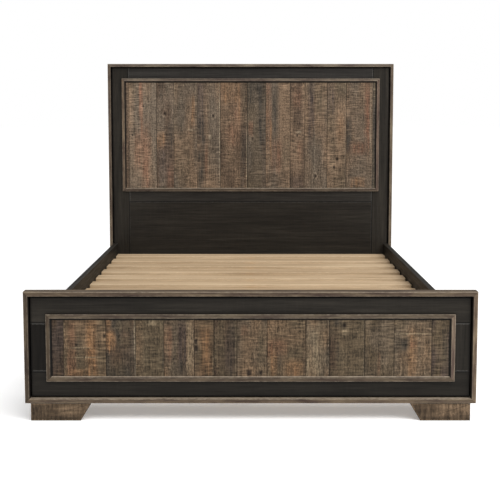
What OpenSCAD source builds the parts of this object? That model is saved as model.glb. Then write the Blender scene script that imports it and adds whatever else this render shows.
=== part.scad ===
// Queen bed frame: framed headboard and footboard, hook-on side rails and a slatted base.
// Millimetres. +Z is up, the footboard faces -Y, and the origin is on the floor under the middle.

/* [Overall size] */
// Width across the headboard and the footboard
bed_w = 1620; // [1600:1:1700]
// Length from the footboard's face to the headboard's back
bed_l = 2166; // [2150:1:2260]
// Height of the headboard
head_h = 1375; // [1300:1:1500]
// Height of the footboard
foot_h = 470; // [440:1:560]
// Height of the two front feet, the clear height under the footboard
feet_h = 64; // [50:1:90]

/* [Outer moulding] */
// Width of the outer moulding's face
outer_w = 18; // [16:0.5:22]
// How far the outer moulding stands in front of the dark boards
outer_proud = 16; // [13:0.5:20]
// Depth of the headboard's outer moulding, front to back
head_d = 51; // [46:1:70]
// Depth of the footboard's outer moulding, front to back
foot_d = 45; // [44:1:60]
// Shadow gap between the outer moulding and the dark boards
reveal = 4; // [2:0.5:6]

/* [Inner moulding] */
// Width of the inner moulding's face
inner_w = 19; // [17:0.5:24]
// How far the inner moulding stands in front of the dark boards
inner_t = 12; // [11:0.5:13]
// From the bed's side to the inner moulding
margin_side = 78; // [70:1:90]
// From the top of the headboard or the footboard to the inner moulding
margin_top = 82; // [74:1:90]
// From the bottom of the footboard to its inner moulding
margin_bottom = 79; // [74:1:90]
// Height of the framed plank panel on the headboard, over its moulding
head_panel_h = 642; // [500:1:700]

/* [Boards] */
// Width of the dark frame boards, before the shadow gap is taken off
board_w = 97; // [92:1:110]
// Thickness of the dark frame boards
board_t = 16; // [15:1:17]
// Thickness of the planks
plank_t = 6; // [5:0.5:6]
// Thickness of the plywood back panels
ply_t = 9; // [6:1:12]
// Height of the headboard's lower edge
head_skirt_z = 180; // [150:1:190]

/* [Side rails and base] */
// Height of a side rail's lower edge
rail_z = 130; // [110:1:150]
// Height of a side rail's board
rail_h = 220; // [210:1:240]
// Thickness of a side rail
rail_t = 24; // [22:1:28]
// Height of the slats' top, where the mattress lies
deck_z = 290; // [280:1:300]
// Number of slats
slat_count = 12; // [8:1:14]
// Width of a slat
slat_w = 90; // [60:1:100]
// Thickness of a slat
slat_t = 20; // [16:1:24]
// From the middle of the bed to each centre leg
leg_y = 340; // [325:1:360]

/* [Hidden] */
$fn = 48;

LEFT = -1;
RIGHT = 1;
HEAD = 1;
FOOT = -1;

half_w = bed_w / 2;
eps = 1; // how far a cutter runs past the face it cuts

// Depth levels of the headboard, from its front to its back
head_y = bed_l / 2 - head_d;
head_board_y = head_y + outer_proud;
head_back_y = head_board_y + board_t;

// Depth levels of the footboard
foot_y = -bed_l / 2;
foot_board_y = foot_y + outer_proud;
foot_back_y = foot_board_y + board_t;
block_t = 25;
block_y = foot_back_y + block_t;

// Inner moulding frames and the plank fields they hold
inner_half_w = half_w - margin_side;
lip = 4; // how far the inner moulding laps over the planks
field_inset = inner_w - lip;
head_frame_top = head_h - margin_top;
head_frame_bottom = head_frame_top - head_panel_h;
foot_frame_top = foot_h - margin_top;
foot_frame_bottom = feet_h + margin_bottom;

// Board edges
board_out = half_w - outer_w - reveal;
board_in = half_w - outer_w - board_w;
post_in = board_in + 5;
core_lap = field_inset + 20; // from the inner frame's edge to the edge of the board under it

// Plank widths from left to right; each row is as wide as the plank field
head_plank_shares = [23, 157, 99, 133, 131, 154, 106, 138, 83, 128, 108, 151, 23];
foot_plank_shares = [47, 152, 105, 102, 108, 71, 82, 108, 139, 84, 126, 106, 135, 69];
plank_gap = 0.6;

// Side rails
rail_out = half_w - outer_w - 2;
rail_in = rail_out - rail_t;
rail_mid = (rail_out + rail_in) / 2;
rail_top = rail_z + rail_h;

// Slatted base
ledger_w = 25;
ledger_h = 35;
ledger_z = deck_z - slat_t;
beam_w = 40;
beam_h = 70;
slat_end_gap = 3;
slat_half = rail_in - slat_end_gap;
slat_first_y = block_y + 6;
slat_last_y = head_board_y - 18 - slat_w;
slat_pitch = (slat_last_y - slat_first_y) / (slat_count - 1);

// Hook-on rail joints
plate_t = 3;
plate_w = 20;
plate_h = 150;
plate_z = rail_z + rail_h / 2 - plate_h / 2;
hook_t = 3;
hook_steps = [35, 100];      // heights of the two hooks on their plate
hook_screw_steps = [7, 142]; // heights of the hook plate's screws
slot_screw_steps = [16, 132]; // heights of the slot plate's screws
slot_low = -8.2;
slot_high = 22;

// Beam brackets
bracket_t = 3;
bracket_l = 45;
bracket_h = 62;
bracket_flange = 22;

// Centre legs and their levellers
leg_w = 45;
leg_bottom = 28;
leg_top = ledger_z - beam_h;
stem_r = 4;
running = 0.05; // radial clearance of a running fit
insert_r = 5.5;
insert_l = 12;
flange_r = 11;
flange_t = 1.5;
leg_bore_r = 5;
leg_bore_top = 95;
stem_top = 75;
pad_r = 19;
pad_top_r = 14;
pad_h = 9;
pad_floor = 3; // solid nylon under the stem's end
collar_r = 7.5; // over the corners of the hexagon
collar_h = 6;

// Wood screws
screw_r = 2;
screw_head_r = 4;
screw_gap = 0.05;
slat_screw_l = 34;
ledger_screw_l = 42;
ledger_screw_drop = 27; // from the ledger's top to its own screws
ledger_screw_every = 2; // slats from one ledger screw to the next
heavy_screw_r = 3;
heavy_screw_head_r = 6;
foot_screw_l = 68;
leg_screw_l = 105;
foot_counterbore_r = 8;
foot_counterbore_h = 8;

// Front feet
foot_outset = 20;   // from the bed's side to the foot
foot_top_w = 218;
foot_bottom_w = 179;
foot_front_set = 5; // from the moulding's face to the foot's face

// Points of an arc from angle a to angle b
function arc(cx, cy, r, a, b, n = 5) =
    [for (i = [0:n]) let (t = a + (b - a) * i / n) [cx + r * cos(t), cy + r * sin(t)]];

// Sum of the first n entries of a list
function sum_to(list, n) = n == 0 ? 0 : list[n - 1] + sum_to(list, n - 1);

// Outer moulding section: depth, then width from the outer edge. Round outside, bevelled inside.
function outer_section(d) = concat(
    [[d, 0]], arc(4, 4, 4, 270, 180), [[0, outer_w - 4], [4, outer_w], [d, outer_w]]);

// Inner moulding section: a bead along each edge, a sunk flat between, and a rebate over the planks
inner_section = concat(
    [[inner_t, 0]], arc(2, 2, 2, 270, 180, 4), [[0, 5], [1.6, 6.6]],
    [[1.6, inner_w - 6.6], [0, inner_w - 5]], arc(2, inner_w - 2, 2, 180, 90, 4),
    [[inner_t - plank_t - 0.2, inner_w], [inner_t - plank_t - 0.2, field_inset - 0.5],
     [inner_t, field_inset - 0.5]]);

// A box from one corner to the other
module box(low, high) {
    translate(low) cube(high - low);
}

// The children as they are on the right side, or mirrored to the left
module on_side(side) {
    mirror([side == LEFT ? 1 : 0, 0, 0]) children();
}

// Straight moulding along X: outer edge on z = 0, face on y = 0. Each end is mitred or square.
module moulding_bar(length, width, depth, section, mitre_a = true, mitre_b = true) {
    a = mitre_a ? width : 0;
    b = mitre_b ? width : 0;
    intersection() {
        translate([-length / 2, 0, 0]) rotate([90, 0, 90]) linear_extrude(length) polygon(section);
        translate([0, depth + eps, 0]) rotate([90, 0, 0]) linear_extrude(depth + 2 * eps)
            polygon([[-length / 2, 0], [length / 2, 0], [length / 2 - b, width], [-length / 2 + a, width]]);
    }
}

// One bar of a moulding frame, by its outer box: "top", "bottom" or, on the right, "side"
module frame_bar(bar, half, low, high, y, width, depth, section, foot_mitre = true) {
    if (bar == "top")
        translate([0, y, high]) mirror([0, 0, 1]) moulding_bar(2 * half, width, depth, section);
    if (bar == "bottom")
        translate([0, y, low]) moulding_bar(2 * half, width, depth, section);
    if (bar == "side")
        mirror([1, 0, 0]) translate([-half, y, (low + high) / 2]) rotate([0, 90, 0])
            moulding_bar(high - low, width, depth, section, true, foot_mitre);
}

module head_outer(bar) {
    color("#6b5f52")
        frame_bar(bar, half_w, 0, head_h, head_y, outer_w, head_d, outer_section(head_d), false);
}

module foot_outer(bar) {
    color("#6b5f52") difference() {
        frame_bar(bar, half_w, feet_h, foot_h, foot_y, outer_w, foot_d, outer_section(foot_d));
        if (bar == "bottom") foot_screw_places() foot_screw(screw_gap);
    }
}

module head_inner(bar) {
    color("#6b5f52") frame_bar(bar, inner_half_w, head_frame_bottom, head_frame_top,
        head_board_y - inner_t, inner_w, inner_t, inner_section);
}

module foot_inner(bar) {
    color("#6b5f52") frame_bar(bar, inner_half_w, foot_frame_bottom, foot_frame_top,
        foot_board_y - inner_t, inner_w, inner_t, inner_section);
}

// Row of upright planks side by side, sized to fill the field between two heights
module plank_row(shares, front_y, low, high) {
    field_half = inner_half_w - field_inset;
    scale_w = 2 * field_half / sum_to(shares, len(shares));
    color("#6a5846") for (i = [0:len(shares) - 1]) {
        x = -field_half + sum_to(shares, i) * scale_w;
        box([x + plank_gap / 2, front_y, low],
            [x + shares[i] * scale_w - plank_gap / 2, front_y + plank_t, high]);
    }
}

module headboard_planks() {
    plank_row(head_plank_shares, head_board_y - plank_t,
        head_frame_bottom + field_inset, head_frame_top - field_inset);
}

module footboard_planks() {
    plank_row(foot_plank_shares, foot_board_y - plank_t,
        foot_frame_bottom + field_inset, foot_frame_top - field_inset);
}

// A wood screw standing head up with its head's top on z = 0; gap widens it to a hole
module screw(length, gap = 0, r = screw_r, head_r = screw_head_r) {
    cone_h = head_r - r;
    translate([0, 0, -length]) cylinder(r = r + gap, h = length);
    translate([0, 0, -cone_h - gap]) cylinder(r1 = r + gap, r2 = head_r + gap, h = cone_h + gap);
    if (gap > 0) cylinder(r = head_r + gap, h = eps);
}

// The head end or the foot end of a rail joint: origin on the face where rail and post meet,
// at the foot of the plates, with -Y into the post and +Y into the rail
module at_joint(side, end) {
    on_side(side)
        if (end == FOOT) translate([rail_mid, block_y, plate_z]) children();
        else translate([rail_mid, head_board_y, plate_z]) mirror([0, 1, 0]) children();
}

// Slotted steel plate let into the post
module slot_plate() {
    color("silver") difference() {
        box([-plate_w / 2, -plate_t, 0], [plate_w / 2, 0, plate_h]);
        for (z = hook_steps)
            box([-hook_t, -plate_t - eps, z + slot_low], [hook_t, eps, z + slot_high]);
        slot_plate_screws(screw_gap);
    }
}

module slot_plate_screws(gap = 0) {
    for (z = slot_screw_steps) translate([0, 0, z]) rotate([-90, 0, 0]) screw(12, gap);
}

// Recess for the slot plate, its screws, and the pockets the hooks drop into
module slot_plate_recess() {
    box([-plate_w / 2, -plate_t, 0], [plate_w / 2, eps, plate_h]);
    for (z = hook_steps) box([-4, -13, z - 15], [4, 0, z + 26]);
    slot_plate_screws(screw_gap);
}

// Steel plate in the rail's end with two hooks that drop over the slotted plate
module hook_plate() {
    color("silver") difference() {
        union() {
            box([-plate_w / 2, 0, 0], [plate_w / 2, plate_t, plate_h]);
            for (z = hook_steps) translate([-hook_t / 2, 0, z]) rotate([90, 0, 90])
                linear_extrude(hook_t) polygon([[plate_t, -8], [-3.4, -8], [-3.4, -14],
                    [-11, -12], [-11, 9], [-8, 14], [plate_t, 14]]);
        }
        hook_plate_screws(screw_gap);
    }
}

module hook_plate_screws(gap = 0) {
    for (z = hook_screw_steps) translate([0, 0, z]) rotate([90, 0, 0]) screw(30, gap);
}

module hook_plate_recess() {
    box([-plate_w / 2, -eps, 0], [plate_w / 2, plate_t, plate_h]);
    hook_plate_screws(screw_gap);
}

module rail_hook_plates() {
    for (side = [LEFT, RIGHT], end = [HEAD, FOOT]) at_joint(side, end) hook_plate();
}

module post_slot_plates() {
    for (side = [LEFT, RIGHT], end = [HEAD, FOOT]) at_joint(side, end) slot_plate();
}

module plate_screws() {
    color("gray") for (side = [LEFT, RIGHT], end = [HEAD, FOOT]) at_joint(side, end) {
        slot_plate_screws();
        hook_plate_screws();
    }
}

module headboard_post(side) {
    color("#8a6f50") on_side(side)
        box([post_in, head_back_y, 0], [half_w - outer_w, bed_l / 2, head_h - outer_w]);
}

module headboard_stile(side) {
    color("#2c2926") difference() {
        on_side(side) box([board_in, head_board_y, 0], [board_out, head_back_y, head_h - outer_w - reveal]);
        at_joint(side, HEAD) slot_plate_recess();
    }
}

module headboard_cross_board(low, high) {
    color("#2c2926") box([-board_in, head_board_y, low], [board_in, head_back_y, high]);
}

module headboard_top_rail() {
    headboard_cross_board(head_frame_top - core_lap, head_h - outer_w - reveal);
}

module headboard_core_panel() {
    headboard_cross_board(head_frame_bottom + core_lap, head_frame_top - core_lap);
}

module headboard_bottom_rail() {
    headboard_cross_board(head_frame_bottom + core_lap - board_w, head_frame_bottom + core_lap);
}

module headboard_lower_panel() {
    difference() {
        headboard_cross_board(head_skirt_z, head_frame_bottom + core_lap - board_w);
        at_bracket(HEAD) bracket_screw_pair(screw_gap);
    }
}

module headboard_back_panel() {
    color("#8a6f50")
        box([-post_in, head_back_y, head_skirt_z], [post_in, head_back_y + ply_t, head_h - outer_w]);
}

// Solid block behind each end of the footboard, which takes the rail joint
module footboard_block(side) {
    color("#2c2926") difference() {
        on_side(side) {
            box([post_in, foot_back_y, feet_h + outer_w], [half_w - outer_w, block_y, foot_h - outer_w]);
            box([post_in, foot_y + foot_d, feet_h], [half_w - outer_w, block_y, feet_h + outer_w + eps]);
        }
        at_joint(side, FOOT) slot_plate_recess();
    }
}

module footboard_stile(side) {
    color("#2c2926") on_side(side) box(
        [board_in, foot_board_y, foot_frame_bottom + core_lap],
        [board_out, foot_back_y, foot_frame_top - core_lap]);
}

module footboard_cross_board(half, low, high) {
    color("#2c2926") box([-half, foot_board_y, low], [half, foot_back_y, high]);
}

module footboard_top_rail() {
    footboard_cross_board(board_out, foot_frame_top - core_lap, foot_h - outer_w - reveal);
}

module footboard_bottom_rail() {
    footboard_cross_board(board_out, feet_h + outer_w + reveal, foot_frame_bottom + core_lap);
}

module footboard_core_panel() {
    footboard_cross_board(board_in, foot_frame_bottom + core_lap, foot_frame_top - core_lap);
}

module footboard_back_panel() {
    color("#2c2926") difference() {
        box([-post_in, foot_back_y, feet_h + outer_w], [post_in, foot_back_y + ply_t, foot_h - outer_w]);
        at_bracket(FOOT) bracket_screw_pair(screw_gap);
    }
}

// Two screws that come up through each front foot into the bottom moulding
module foot_screw_places() {
    for (side = [LEFT, RIGHT], x = [45, foot_bottom_w - 45])
        translate([side * (half_w - foot_outset - x), foot_y + foot_d / 2, foot_counterbore_h])
            children();
}

module foot_screw(gap = 0) {
    rotate([180, 0, 0]) screw(foot_screw_l, gap, heavy_screw_r, heavy_screw_head_r);
}

module foot_screws() {
    color("gray") foot_screw_places() foot_screw();
}

// Bracket foot: upright outside, sloping inside
module front_foot(side) {
    color("#6a5846") difference() {
        on_side(side) translate([half_w - foot_outset, block_y, 0]) rotate([90, 0, 0])
            linear_extrude(block_y - foot_y - foot_front_set)
                polygon([[0, 0], [0, feet_h], [-foot_top_w, feet_h], [-foot_bottom_w, 0]]);
        foot_screw_places() {
            foot_screw(screw_gap);
            translate([0, 0, -foot_counterbore_h - eps])
                cylinder(r = foot_counterbore_r, h = foot_counterbore_h + eps);
        }
    }
}

module side_rail(side) {
    color("#2c2926") difference() {
        on_side(side) box([rail_in, block_y, rail_z], [rail_out, head_board_y, rail_top]);
        for (end = [HEAD, FOOT]) at_joint(side, end) hook_plate_recess();
        ledger_screw_places(side) screw(ledger_screw_l, screw_gap);
    }
}

// Y of the middle of each slat
function slat_y(i) = slat_first_y + slat_w / 2 + i * slat_pitch;

module slat_screw_places(side) {
    for (i = [0:slat_count - 1])
        translate([side * (rail_in - ledger_w / 2), slat_y(i), deck_z]) children();
}

// Screws along the ledger that hold it to the side rail, each midway between two slats
module ledger_screw_places(side) {
    on_side(side)
        for (i = [0:ledger_screw_every:slat_count - 2])
            translate([rail_in - ledger_w, slat_y(i) + slat_pitch / 2, ledger_z - ledger_screw_drop])
                rotate([0, -90, 0]) children();
}

module slat_ledger(side) {
    color("#c3a578") difference() {
        on_side(side) box([rail_in - ledger_w, block_y + 4, ledger_z - ledger_h],
            [rail_in, head_board_y - 4, ledger_z]);
        slat_screw_places(side) screw(slat_screw_l, screw_gap);
        ledger_screw_places(side) screw(ledger_screw_l, screw_gap);
    }
}

module slats() {
    color("#c3a578") difference() {
        for (i = [0:slat_count - 1])
            box([-slat_half, slat_y(i) - slat_w / 2, ledger_z], [slat_half, slat_y(i) + slat_w / 2, deck_z]);
        for (side = [LEFT, RIGHT]) slat_screw_places(side) screw(slat_screw_l, screw_gap);
    }
}

module slat_screws() {
    color("gray") for (side = [LEFT, RIGHT]) slat_screw_places(side) screw(slat_screw_l);
}

module ledger_screws() {
    color("gray") for (side = [LEFT, RIGHT]) ledger_screw_places(side) screw(ledger_screw_l);
}

// A beam bracket's place: origin on the board's face, under the beam, with +Y towards the bed
module at_bracket(end) {
    if (end == FOOT) translate([0, foot_back_y + ply_t, leg_top]) children();
    else translate([0, head_board_y, leg_top]) mirror([0, 1, 0]) children();
}

// Steel cup that carries an end of the centre beam
module beam_bracket() {
    inside = beam_w / 2 + 0.2;
    difference() {
        union() {
            box([-inside - bracket_flange, 0, -bracket_t], [inside + bracket_flange, bracket_t, bracket_h]);
            box([-inside - bracket_t, 0, -bracket_t], [inside + bracket_t, bracket_l, 0]);
            for (side = [LEFT, RIGHT]) on_side(side)
                box([inside, 0, -bracket_t], [inside + bracket_t, bracket_l, bracket_h]);
        }
        bracket_screw_pair(screw_gap);
    }
}

module bracket_screw_pair(gap = 0) {
    for (side = [LEFT, RIGHT])
        translate([side * (beam_w / 2 + 13), bracket_t, bracket_h / 2]) rotate([-90, 0, 0]) screw(11, gap);
}

module beam_brackets() {
    color("silver") for (end = [HEAD, FOOT]) at_bracket(end) beam_bracket();
}

module bracket_screws() {
    color("gray") for (end = [HEAD, FOOT]) at_bracket(end) bracket_screw_pair();
}

module centre_beam() {
    end_gap = bracket_t + 1;
    color("#c3a578") difference() {
        box([-beam_w / 2, foot_back_y + ply_t + end_gap, leg_top],
            [beam_w / 2, head_board_y - end_gap, ledger_z]);
        for (end = [HEAD, FOOT]) leg_screw(end, screw_gap);
    }
}

// Long screw down through the beam into a centre leg, between two slats
module leg_screw(end, gap = 0) {
    translate([0, end * leg_y, ledger_z]) screw(leg_screw_l, gap, heavy_screw_r, heavy_screw_head_r);
}

module leg_screws() {
    color("gray") for (end = [HEAD, FOOT]) leg_screw(end);
}

// Square leg under the beam, bored from below for the leveller's insert and stem
module centre_leg(end) {
    color("#c3a578") translate([0, end * leg_y, 0]) difference() {
        box([-leg_w / 2, -leg_w / 2, leg_bottom], [leg_w / 2, leg_w / 2, leg_top]);
        translate([0, 0, leg_bottom - eps]) cylinder(r = leg_bore_r, h = leg_bore_top - leg_bottom + eps);
        translate([0, 0, leg_bottom - eps]) cylinder(r = insert_r + screw_gap, h = insert_l + eps);
        translate([0, -end * leg_y, 0]) leg_screw(end, screw_gap);
    }
}

// Flanged threaded insert in each leg's end
module leg_inserts() {
    color("silver") for (end = [HEAD, FOOT]) translate([0, end * leg_y, leg_bottom - flange_t])
        difference() {
            union() {
                cylinder(r = flange_r, h = flange_t);
                cylinder(r = insert_r, h = flange_t + insert_l);
            }
            translate([0, 0, -eps]) cylinder(r = stem_r + running, h = flange_t + insert_l + 2 * eps);
        }
}

// Nylon pad on the floor, with a blind socket for the stem's end
module leveller_pad(end) {
    color("#222222") translate([0, end * leg_y, 0]) difference() {
        union() {
            cylinder(r = pad_r, h = pad_h / 3);
            translate([0, 0, pad_h / 3]) cylinder(r1 = pad_r, r2 = pad_top_r, h = pad_h * 2 / 3);
        }
        translate([0, 0, pad_floor]) cylinder(r = stem_r + running, h = pad_h);
    }
}

// Screwed stem with a hexagon for the spanner
module leveller_stem(end) {
    color("silver") translate([0, end * leg_y, 0]) {
        translate([0, 0, pad_floor + running]) cylinder(r = stem_r, h = stem_top - pad_floor);
        translate([0, 0, pad_h + running]) cylinder(r = collar_r, h = collar_h, $fn = 6);
    }
}

headboard_post(LEFT);  // headboard_left_post
headboard_post(RIGHT);  // headboard_right_post
headboard_stile(LEFT);  // headboard_left_stile
headboard_stile(RIGHT);  // headboard_right_stile
headboard_top_rail();
headboard_bottom_rail();
headboard_lower_panel();
headboard_core_panel();
headboard_back_panel();
headboard_planks();
head_outer("top");  // headboard_top_moulding
on_side(LEFT) head_outer("side");  // headboard_left_moulding
head_outer("side");  // headboard_right_moulding
head_inner("top");  // headboard_inner_top_moulding
head_inner("bottom");  // headboard_inner_bottom_moulding
on_side(LEFT) head_inner("side");  // headboard_inner_left_moulding
head_inner("side");  // headboard_inner_right_moulding
footboard_block(LEFT);  // footboard_left_block
footboard_block(RIGHT);  // footboard_right_block
footboard_stile(LEFT);  // footboard_left_stile
footboard_stile(RIGHT);  // footboard_right_stile
footboard_top_rail();
footboard_bottom_rail();
footboard_core_panel();
footboard_back_panel();
footboard_planks();
foot_outer("top");  // footboard_top_moulding
foot_outer("bottom");  // footboard_bottom_moulding
on_side(LEFT) foot_outer("side");  // footboard_left_moulding
foot_outer("side");  // footboard_right_moulding
foot_inner("top");  // footboard_inner_top_moulding
foot_inner("bottom");  // footboard_inner_bottom_moulding
on_side(LEFT) foot_inner("side");  // footboard_inner_left_moulding
foot_inner("side");  // footboard_inner_right_moulding
front_foot(LEFT);  // left_front_foot
front_foot(RIGHT);  // right_front_foot
foot_screws();
side_rail(LEFT);  // left_side_rail
side_rail(RIGHT);  // right_side_rail
slat_ledger(LEFT);  // left_slat_ledger
slat_ledger(RIGHT);  // right_slat_ledger
rail_hook_plates();
post_slot_plates();
plate_screws();
centre_beam();
beam_brackets();
bracket_screws();
centre_leg(HEAD);  // head_centre_leg
centre_leg(FOOT);  // foot_centre_leg
leg_inserts();
leveller_pad(HEAD);  // head_leveller_pad
leveller_pad(FOOT);  // foot_leveller_pad
leveller_stem(HEAD);  // head_leveller_stem
leveller_stem(FOOT);  // foot_leveller_stem
slats();
slat_screws();
ledger_screws();
leg_screws();
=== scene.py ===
# %% [markdown]
# # A queen bed frame
# A tall headboard and a low footboard are joined by two side rails. Each end is a dark frame with
# a brown outer moulding, and it holds a field of upright planks inside a second, inner moulding.
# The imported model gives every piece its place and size. This file gives each piece its real
# edges, profile and wood.

# %% Load the frame
import math

import bpy
import numpy as np
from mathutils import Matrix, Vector


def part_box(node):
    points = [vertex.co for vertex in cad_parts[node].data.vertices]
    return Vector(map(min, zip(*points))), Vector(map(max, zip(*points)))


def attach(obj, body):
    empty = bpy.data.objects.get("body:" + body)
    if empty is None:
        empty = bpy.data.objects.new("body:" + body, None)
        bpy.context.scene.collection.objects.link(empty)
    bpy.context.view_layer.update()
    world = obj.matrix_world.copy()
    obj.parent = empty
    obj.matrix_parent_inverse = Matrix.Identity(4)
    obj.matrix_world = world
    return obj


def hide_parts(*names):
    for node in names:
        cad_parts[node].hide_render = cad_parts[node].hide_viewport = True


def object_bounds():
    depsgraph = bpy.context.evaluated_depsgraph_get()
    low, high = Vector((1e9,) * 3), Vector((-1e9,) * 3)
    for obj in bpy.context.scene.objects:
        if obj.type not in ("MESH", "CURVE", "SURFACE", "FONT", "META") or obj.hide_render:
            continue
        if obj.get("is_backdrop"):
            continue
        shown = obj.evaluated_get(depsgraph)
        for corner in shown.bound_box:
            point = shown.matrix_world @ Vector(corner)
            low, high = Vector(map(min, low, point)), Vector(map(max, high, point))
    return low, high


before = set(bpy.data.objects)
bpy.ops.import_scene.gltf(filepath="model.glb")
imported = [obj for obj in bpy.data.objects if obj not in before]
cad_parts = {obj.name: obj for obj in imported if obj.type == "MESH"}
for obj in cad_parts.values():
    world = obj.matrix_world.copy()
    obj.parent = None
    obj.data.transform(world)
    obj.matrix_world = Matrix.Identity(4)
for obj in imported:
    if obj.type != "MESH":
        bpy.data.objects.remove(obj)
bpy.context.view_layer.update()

MM = 0.001

# %% [markdown]
# ## Surfaces from rings
# Nearly every piece of a bed is a length of wood: an outline carried along a straight line. A
# cube with a bevel would do, but then the grain, the rubbed edges and the mitres have to be
# added afterwards. Here a piece is a stack of closed rings of points. The quads between two
# rings are its sides, and the first and last ring close its ends.

# %% Faces over rings
def ring_faces(rings, around):
    """Quads between neighbouring rings, and one many-sided face over each end."""
    row = np.arange(rings - 1)[:, None] * around
    here = np.arange(around)[None, :]
    after = (here + 1) % around
    quads = np.stack([row + here, row + after, row + around + after, row + around + here], -1)
    first_cap = np.arange(around)[::-1]
    last_cap = (rings - 1) * around + np.arange(around)
    return quads.reshape(-1, 4), first_cap, last_cap


def faces_point_in(rings):
    """True if the quads face inwards: the volume under them, summed as a.(b x c), is negative."""
    a = rings[:-1]
    b = np.roll(a, -1, axis=1)
    c = np.roll(rings[1:], -1, axis=1)
    d = rings[1:]
    middle = rings.reshape(-1, 3).mean(0)
    a, b, c, d = a - middle, b - middle, c - middle, d - middle
    volume = (a * np.cross(b, c)).sum() + (a * np.cross(c, d)).sum()
    return volume < 0


def outward_faces(rings, first_point=0):
    """Every face over the rings as a list of point numbers, facing outwards. The ends come last."""
    quads, *caps = ring_faces(*rings.shape[:2])
    if faces_point_in(rings):
        quads = quads[:, ::-1]
        caps = [cap[::-1] for cap in caps]
    return (quads + first_point).tolist() + [(cap + first_point).tolist() for cap in caps]


two_squares = np.array([[(0, 0, z), (1, 0, z), (1, 1, z), (0, 1, z)] for z in (0.0, 1.0)])
print("two rings of four points make a cube of", len(outward_faces(two_squares)), "faces")


# %% Mesh from rings
def mesh_of_rings(name, rings, point_data, sharp_angle=40.0):
    """A closed mesh over rings (ring, point, xyz), with named data for each point."""
    mesh = bpy.data.meshes.new(name)
    mesh.from_pydata(rings.reshape(-1, 3), [], outward_faces(rings))
    smooth = np.ones(len(mesh.polygons), bool)
    smooth[-2:] = False
    mesh.polygons.foreach_set("use_smooth", smooth)
    kinds = {1: ("FLOAT", "value"), 3: ("FLOAT_VECTOR", "vector"), 4: ("FLOAT_COLOR", "color")}
    for label, values in point_data.items():
        values = np.asarray(values, np.float32).reshape(len(mesh.vertices), -1)
        kind, field = kinds[values.shape[1]]
        mesh.attributes.new(label, kind, "POINT").data.foreach_set(field, values.ravel())
    mesh.validate()
    mesh.set_sharp_from_angle(angle=math.radians(sharp_angle))
    return mesh


# %% A piece on its body
def place(name, mesh, material, body, replaces):
    """Puts a finished mesh in the scene, on its body, in place of the nodes it stands for."""
    piece = bpy.data.objects.new(name, mesh)
    bpy.context.scene.collection.objects.link(piece)
    mesh.materials.append(material)
    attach(piece, body)
    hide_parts(*replaces)


# %% [markdown]
# ## Wood that runs the right way
# A wood texture is solid: it goes through the board, long along the grain and short across it.
# Each piece therefore carries its own coordinates in an attribute called wood, with the grain
# first, shifted by a random amount so that no two boards show the same figure.

# %% Grain coordinates
GRAIN_ORDER = {"x": (0, 1, 2), "y": (1, 0, 2), "z": (2, 0, 1)}


def grain_coordinates(points, grain, seed):
    """The points with the grain's axis first, moved to a place of their own in the wood."""
    shift = np.random.default_rng(seed).uniform(5, 60, 3)
    return points[..., GRAIN_ORDER[grain]] + shift


print("axes of the wood, grain first:", GRAIN_ORDER)

# %% [markdown]
# ## A board
# A real board has no knife edges: sandpaper has taken each one down by a millimetre or two. A
# bevel modifier could do the same. Here the outline itself is eased, and so are the ends, by
# insetting the last rings along a quarter circle. So each point knows how rubbed it is, and the
# finish can be paler there. The same value can instead paint an edge near black, as painted shade.

# %% Eased outlines
def unit(vectors):
    return vectors / np.linalg.norm(vectors, axis=-1, keepdims=True)


def inset(corners, distance):
    """The corners of a polygon moved in by a distance from both of their sides."""
    to_next = unit(np.roll(corners, -1, 0) - corners)
    from_last = np.roll(to_next, 1, 0)
    turn = np.array([[0, -1], [1, 0]])
    normal_a, normal_b = from_last @ turn.T, to_next @ turn.T
    reach = 1 + (normal_a * normal_b).sum(1, keepdims=True)
    return corners + distance * (normal_a + normal_b) / reach


def eased(corners, radius, steps=4, margin=2 * MM):
    """A polygon with each corner C rounded by the curve (1-t)^2 A + 2t(1-t) C + t^2 B, where A and
    B lie one radius from C. Returns the points and how worn each is, 1 at the middle of a curve."""
    back = unit(np.roll(corners, 1, 0) - corners)
    ahead = unit(np.roll(corners, -1, 0) - corners)
    t = np.linspace(0, 1, steps + 1)[None, :, None]
    corner = corners[:, None]
    curve = (1 - t) ** 2 * (corner + back[:, None] * radius) + 2 * t * (1 - t) * corner
    curve = curve + t**2 * (corner + ahead[:, None] * radius)
    before = corner + back[:, None] * (radius + margin)
    after = corner + ahead[:, None] * (radius + margin)
    points = np.concatenate([before, curve, after], 1).reshape(-1, 2)
    on_curve = 1 - 0.5 * np.abs(2 * t.ravel() - 1)
    wear_and_light = np.tile(np.concatenate([[0], on_curve, [0]]), len(corners))
    return points, wear_and_light


square = np.array([(0.0, 0.0), (1.0, 0.0), (1.0, 1.0), (0.0, 1.0)])
print("a square with eased corners has", len(eased(square, 0.1)[0]), "points")

# %% Rings of a board
FACE_WEAR = 0.4  # how rubbed an end face with a border is


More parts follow.
